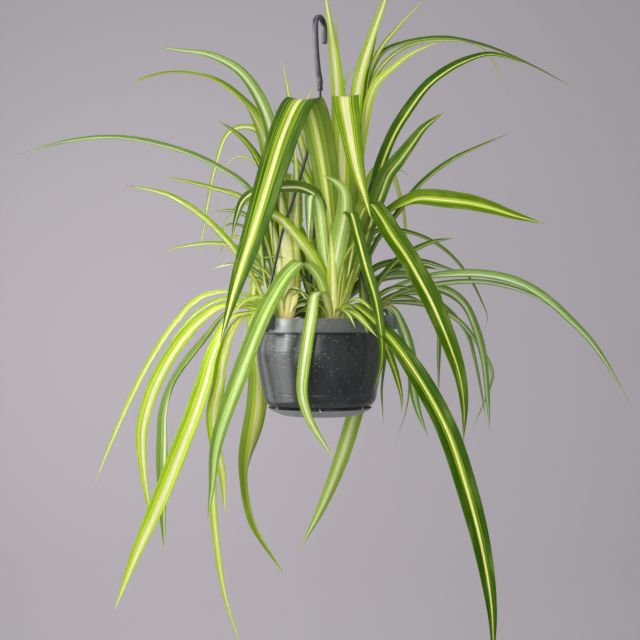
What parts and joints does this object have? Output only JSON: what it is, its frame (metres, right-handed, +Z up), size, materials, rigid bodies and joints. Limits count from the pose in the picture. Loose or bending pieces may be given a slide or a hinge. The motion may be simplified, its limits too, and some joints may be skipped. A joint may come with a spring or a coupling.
{
  "type": "potted spider plant",
  "caption": "Hanging spider plant in a round nursery pot with a clip-on saucer, soil, leafy crowns of arching striped blades, and a hook carried on slim arms.",
  "frame": {"origin": "the seat of the hook: the inside of the crook at its highest point, on the pot's axis, where the plant hangs", "axes": "+Z up along the pot's axis; the front of the plant looks along -Y, with +X to the right as seen from the front"},
  "size_m": [0.6962, 0.3934, 0.8046],
  "materials": {
    "pot_plastic": "moulded anthracite plastic, dusty and scuffed, soft sheen",
    "hanger_plastic": "smooth dark plastic with moulding lines",
    "soil": "dark crumbly potting soil",
    "leaf": "smooth green blade with cream and lime stripes, soft waxy sheen"
  },
  "bodies": {
    "root": {"pot": "pot_plastic", "saucer": "pot_plastic", "potting_soil": "soil", "hook": "hanger_plastic", "hanger_arm_left": "hanger_plastic", "hanger_arm_right": "hanger_plastic", "hanger_arm_rear": "hanger_plastic", "crown_centre": "leaf", "crown_left": "leaf", "crown_rear_left": "leaf", "crown_right": "leaf", "crown_rear": "leaf"}
  },
  "joints": []
}
